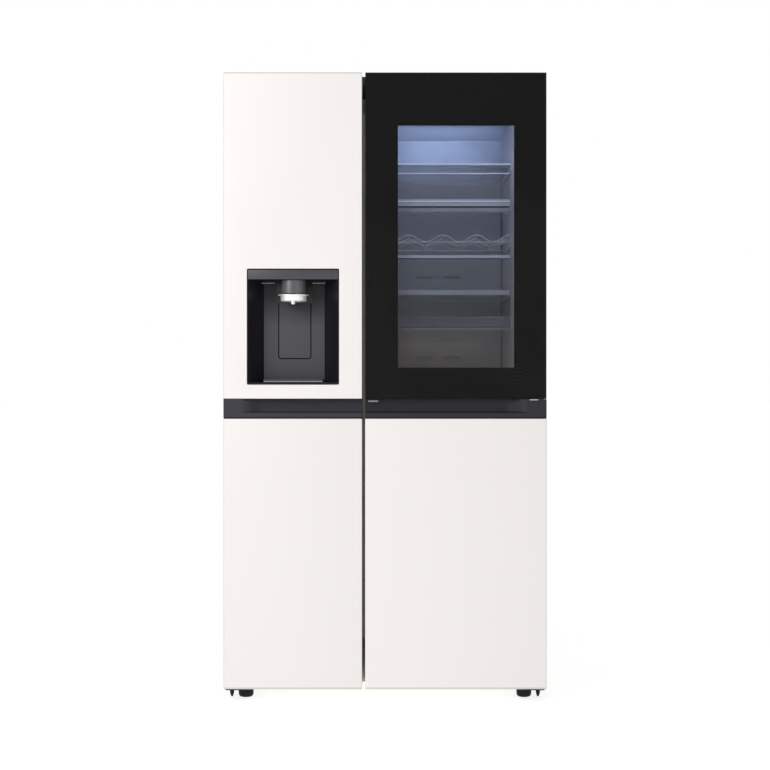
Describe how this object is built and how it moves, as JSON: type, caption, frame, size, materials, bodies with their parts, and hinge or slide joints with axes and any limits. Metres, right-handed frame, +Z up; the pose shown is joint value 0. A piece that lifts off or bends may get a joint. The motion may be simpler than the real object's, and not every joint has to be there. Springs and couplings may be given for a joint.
{
  "type": "side by side refrigerator",
  "caption": "Side by side refrigerator with an ice and water dispenser in the freezer door and a see-through outer door on the fridge side.",
  "frame": {"origin": "middle of the footprint on the floor, at the lowest point of the feet", "axes": "+X to the right seen from the front, +Y to the back, +Z up; the doors face -Y"},
  "size_m": [0.913, 0.735, 1.79],
  "materials": {
    "panel_beige": "satin",
    "case_grey": "satin",
    "black_glass": "gloss",
    "clear_glass": "gloss",
    "clear_plastic": "gloss",
    "dark_plastic": "satin",
    "dispenser_plastic": "satin",
    "black_plastic": "matte",
    "liner_white": "satin",
    "white_plastic": "satin",
    "lamp_lens": "satin",
    "gasket_grey": "matte",
    "roller_rubber": "matte",
    "zinc_steel": "satin",
    "black_steel": "satin",
    "fin_aluminium": "satin",
    "chrome_trim": "polished",
    "foam_yellow": "matte"
  },
  "bodies": {
    "cabinet": {"base_frame": "zinc_steel", "bottle_rack": "chrome_trim", "bottom_hinge_left": "black_steel", "bottom_hinge_right": "black_steel", "cabinet_shell": "case_grey", "ceiling_lamp": "lamp_lens", "compressor": "black_steel", "condenser": "black_steel", "crisper_drawer": "clear_plastic", "evaporator": "fin_aluminium", "evaporator_cover": "liner_white", "fan_shroud": "black_plastic", "freezer_drawer": "clear_plastic", "freezer_liner": "liner_white", "freezer_shelf_1": "clear_glass", "fridge_air_duct": "liner_white", "fridge_liner": "liner_white", "fridge_shelf_1": "clear_glass", "fridge_shelf_2": "clear_glass", "fridge_shelf_3": "clear_glass", "insulation": "foam_yellow", "machine_room_cover": "zinc_steel", "power_cord_gland": "black_plastic", "rear_panel": "zinc_steel", "top_cover": "black_plastic", "top_hinge_left": "zinc_steel", "top_hinge_right": "zinc_steel", "water_inlet": "white_plastic"},
    "freezer_door": {"freezer_door_core": "white_plastic", "freezer_upper_panel": "panel_beige", "freezer_lower_panel": "panel_beige", "freezer_handle": "dark_plastic", "freezer_gasket": "gasket_grey", "freezer_door_basket_1": "clear_plastic", "freezer_door_basket_2": "clear_plastic", "ice_maker": "white_plastic", "dispenser_housing": "dispenser_plastic", "dispenser_nozzle": "dispenser_plastic", "dispenser_collar": "chrome_trim"},
    "dispenser_lever": {"dispenser_lever": "dispenser_plastic"},
    "drip_tray": {"drip_tray": "dispenser_plastic"},
    "fridge_door": {"fridge_door_core": "white_plastic", "fridge_lower_panel": "panel_beige", "fridge_handle": "dark_plastic", "fridge_gasket": "gasket_grey", "door_basket_1": "clear_plastic", "door_basket_2": "clear_plastic", "door_basket_3": "clear_plastic", "outer_door_hinge_top": "zinc_steel", "outer_door_hinge_bottom": "zinc_steel"},
    "outer_door": {"outer_door_glass": "black_glass", "outer_door_frame": "black_plastic", "inner_window_pane": "clear_glass", "outer_door_gasket": "gasket_grey"},
    "release_button": {"release_button": "chrome_trim"},
    "foot_left": {"levelling_foot_left": "black_plastic"},
    "foot_right": {"levelling_foot_right": "black_plastic"},
    "roller_left": {"rear_roller_left": "roller_rubber"},
    "roller_right": {"rear_roller_right": "roller_rubber"},
    "fan": {"condenser_fan": "black_plastic"}
  },
  "joints": [
    {"name": "freezer_door_hinge", "type": "hinge", "parent": "cabinet", "child": "freezer_door", "pos_m": [-0.44, -0.285, 0.037], "axis": [0, 0, -1], "range_deg": [0, 110]},
    {"name": "fridge_door_hinge", "type": "hinge", "parent": "cabinet", "child": "fridge_door", "pos_m": [0.44, -0.285, 0.037], "axis": [0, 0, 1], "range_deg": [0, 110]},
    {"name": "outer_door_hinge", "type": "hinge", "parent": "fridge_door", "child": "outer_door", "pos_m": [0.4465, -0.337, 0.857], "axis": [0, 0, 1], "range_deg": [0, 100]},
    {"name": "release_button_push", "type": "slide", "parent": "outer_door", "child": "release_button", "axis": [0, 0, 1], "range_m": [0, 0.003], "stiffness_N_per_m": 300, "springref_m": -0.002},
    {"name": "dispenser_lever_push", "type": "hinge", "parent": "freezer_door", "child": "dispenser_lever", "pos_m": [-0.25995, -0.297, 1.15], "axis": [1, 0, 0], "range_deg": [0, 5], "stiffness_Nm_per_rad": 1.5, "springref_deg": -2.86},
    {"name": "drip_tray_slide", "type": "slide", "parent": "freezer_door", "child": "drip_tray", "axis": [0, -1, 0], "range_m": [0, 0.05]},
    {"name": "foot_left_screw", "type": "hinge", "parent": "cabinet", "child": "foot_left", "pos_m": [-0.4, -0.28, 0], "axis": [0, 0, 1], "continuous": true},
    {"name": "foot_right_screw", "type": "hinge", "parent": "cabinet", "child": "foot_right", "pos_m": [0.4, -0.28, 0], "axis": [0, 0, 1], "continuous": true},
    {"name": "roller_left_spin", "type": "hinge", "parent": "cabinet", "child": "roller_left", "pos_m": [-0.4, 0.3, 0.017], "axis": [1, 0, 0], "continuous": true},
    {"name": "roller_right_spin", "type": "hinge", "parent": "cabinet", "child": "roller_right", "pos_m": [0.4, 0.3, 0.017], "axis": [1, 0, 0], "continuous": true},
    {"name": "fan_spin", "type": "hinge", "parent": "cabinet", "child": "fan", "pos_m": [0.04, 0.235, 0.17], "axis": [1, 0, 0], "continuous": true}
  ]
}
